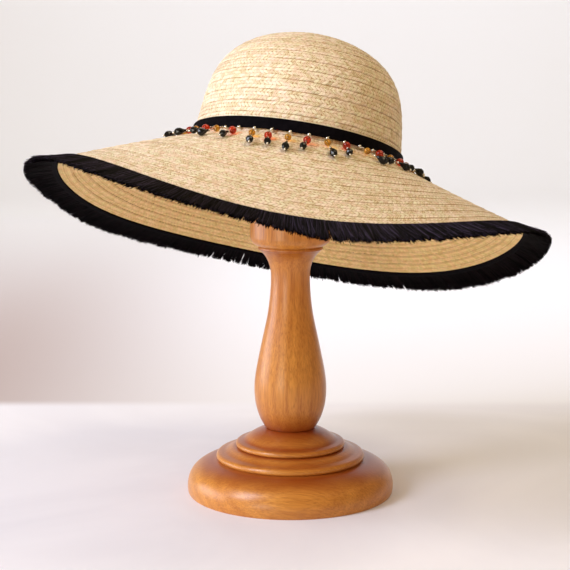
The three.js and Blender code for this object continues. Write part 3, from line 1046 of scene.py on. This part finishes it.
# %% Model one drop
def rod(radius, length):
    """A thin rod up +Z from the origin."""
    bpy.ops.mesh.primitive_cylinder_add(
        vertices=6, radius=radius, depth=length, location=(0, 0, length / 2))
    made = bpy.context.object
    select_only(made)
    bpy.ops.object.transform_apply(location=True)
    return made


def paint(piece, materials, index, smooth):
    """Gives a piece of a drop all the drop's materials, and shows one of them."""
    for material in materials:
        piece.data.materials.append(material)
    for face in piece.data.polygons:
        face.material_index = index
        face.use_smooth = smooth


def bead(radius, height, sink, squash, segments, rings):
    """A bead on the axis, or sunk towards the brim, and squashed along its hole."""
    bpy.ops.mesh.primitive_uv_sphere_add(
        segments=segments, ring_count=rings, radius=radius, location=(-sink, 0, height))
    made = bpy.context.object
    edit_all(made)
    bpy.ops.transform.resize(value=(1, 1, squash))
    select_only(made)
    return made


# The pear's sections, each as its rise from the one before and its half width in millimetres.
# It starts as a short seven-sided stub, and every section is turned by half a side.
pear_sides = 7
stub_half_width = 0.9
stub_height = 0.8
pear_sections = ((1.3, 1.5), (1.8, 2.3), (1.6, 2.6), (1.5, 2.0), (1.0, 0.8))
pear_reach = 7.6
glass_height = 3.0
glass_sink, pear_sink, silver_sink = 0.6 * MM, 0.4 * MM, 0.7 * MM


def make_drop(name, glass, glass_radius, pear_start, pear_length, pear_width):
    """A drop along +Z from its start, with +X pointing away from the brim.

    The pear starts at a height in millimetres, and the last two numbers scale it.
    """
    pear_end = pear_start + pear_reach * pear_length
    select_only(None)
    round_bead = bead(glass_radius, glass_height * MM, glass_sink, 1.0, 16, 10)
    small_bead = bead(1.0 * MM, (pear_start - 1.4) * MM, silver_sink, 0.9, 10, 6)
    tip_bead = bead(0.9 * MM, (pear_end + 0.6) * MM, silver_sink, 1.0, 10, 6)
    bpy.ops.mesh.primitive_cylinder_add(
        vertices=pear_sides, radius=stub_half_width * MM, depth=stub_height * MM,
        location=(-pear_sink, 0, pear_start * MM))
    pear = bpy.context.object
    edit_all(pear)
    bpy.ops.mesh.select_mode(type="FACE")
    bpy.ops.mesh.select_all(action="DESELECT")
    select_only(pear)
    for face in pear.data.polygons:
        face.select = face.normal.z > 0.9
    bpy.ops.object.mode_set(mode="EDIT")
    reach = stub_half_width
    for rise, wider in pear_sections:
        rise, wider = rise * pear_length, wider * pear_width
        bpy.ops.mesh.extrude_region_move(TRANSFORM_OT_translate={"value": (0, 0, rise * MM)})
        bpy.ops.transform.resize(value=(wider / reach, wider / reach, 1))
        bpy.ops.transform.rotate(
            value=pi / pear_sides, orient_axis="Z", center_override=(-pear_sink, 0, 0))
        reach = wider
    bpy.ops.mesh.select_all(action="SELECT")
    bpy.ops.mesh.quads_convert_to_tris()
    select_only(pear)
    wire = rod(thread_radius, (pear_end + 0.7) * MM)
    wire.data.transform(Matrix.Translation((-silver_sink, 0, 0)))
    for piece, index in ((round_bead, 1), (small_bead, 0), (tip_bead, 0), (pear, 2), (wire, 0)):
        select_only(piece)
        bpy.ops.object.transform_apply(location=True, rotation=True, scale=True)
        paint(piece, (silver, glass, pear_glass), index, piece is not pear)
    drop = join([round_bead, small_bead, tip_bead, pear, wire], name)
    face_outwards(drop)
    return drop


amber_drop = make_drop("amber_drop", amber_glass, 2.5 * MM, 11.0, 1.12, 1.12)
red_drop = make_drop("red_drop", red_glass, 2.9 * MM, 8.2, 0.9, 1.06)

# %% Place the drops
def turned_towards(along_axis, up_axis):
    """A turn that takes +Z to one direction and +X as near as can be to another."""
    side_axis = along_axis.cross(up_axis).normalized()
    return Matrix((side_axis.cross(along_axis), side_axis, along_axis)).transposed().to_4x4()


def hat_vector(point):
    return Vector(on_stand(point))


oval = crown_point(bearing_table, np.zeros_like(bearing_table), 0.0)
first_length = np.interp(first_bearing, bearing_table, lengths_along(oval))
oval_girth = even_bearings(oval, bearing_table, np.zeros(1))[1]
drop_shares = first_length / oval_girth + np.arange(drop_count) / drop_count
drop_bearings = even_bearings(oval, bearing_table, drop_shares)[0]
for index in range(drop_count):
    place_number = index - drop_count if index > drop_count / 2 else index
    bearing = np.array(drop_bearings[index])
    usual = (drop_start / MM, 0.0, other_lean_degrees * sin(place_number * other_wave_step))
    start_mm, aside_mm, lean_degrees = front_drops.get(place_number, usual)
    start = np.array(start_mm * MM)
    near = hat_vector(brim_point(bearing, start, drop_axis_lift))
    far = hat_vector(brim_point(bearing, start + drop_length, drop_axis_lift))
    up = (hat_vector(brim_point(bearing, start, drop_axis_lift + 1 * MM)) - near).normalized()
    along = (far - near).normalized()
    near += up.cross(along) * aside_mm * MM
    along.rotate(Matrix.Rotation(radians(lean_degrees), 3, up))
    source = amber_drop if place_number % 2 == 0 else red_drop
    copy = source.copy()
    copy.data = source.data.copy()
    bpy.context.scene.collection.objects.link(copy)
    copy.data.transform(Matrix.Translation(near) @ turned_towards(along, up))
    seed_place = hat_vector(climb_point(bearing, np.array(seed_climb), seed_out))
    select_only(None)
    seed = bead(seed_radius, 0, 0, 0.9, 12, 8)
    thread = rod(thread_radius, (near - seed_place).length)
    turn = turned_towards((near - seed_place).normalized(), up)
    for piece in (seed, thread):
        paint(piece, source.data.materials, 0, True)
        piece.data.transform(Matrix.Translation(seed_place) @ turn)
    join([copy, seed, thread], f"drop_{index + 1:02d}")
    dress(copy, [], [f"bead_drop_{index + 1:02d}"])
bpy.data.objects.remove(amber_drop)
bpy.data.objects.remove(red_drop)
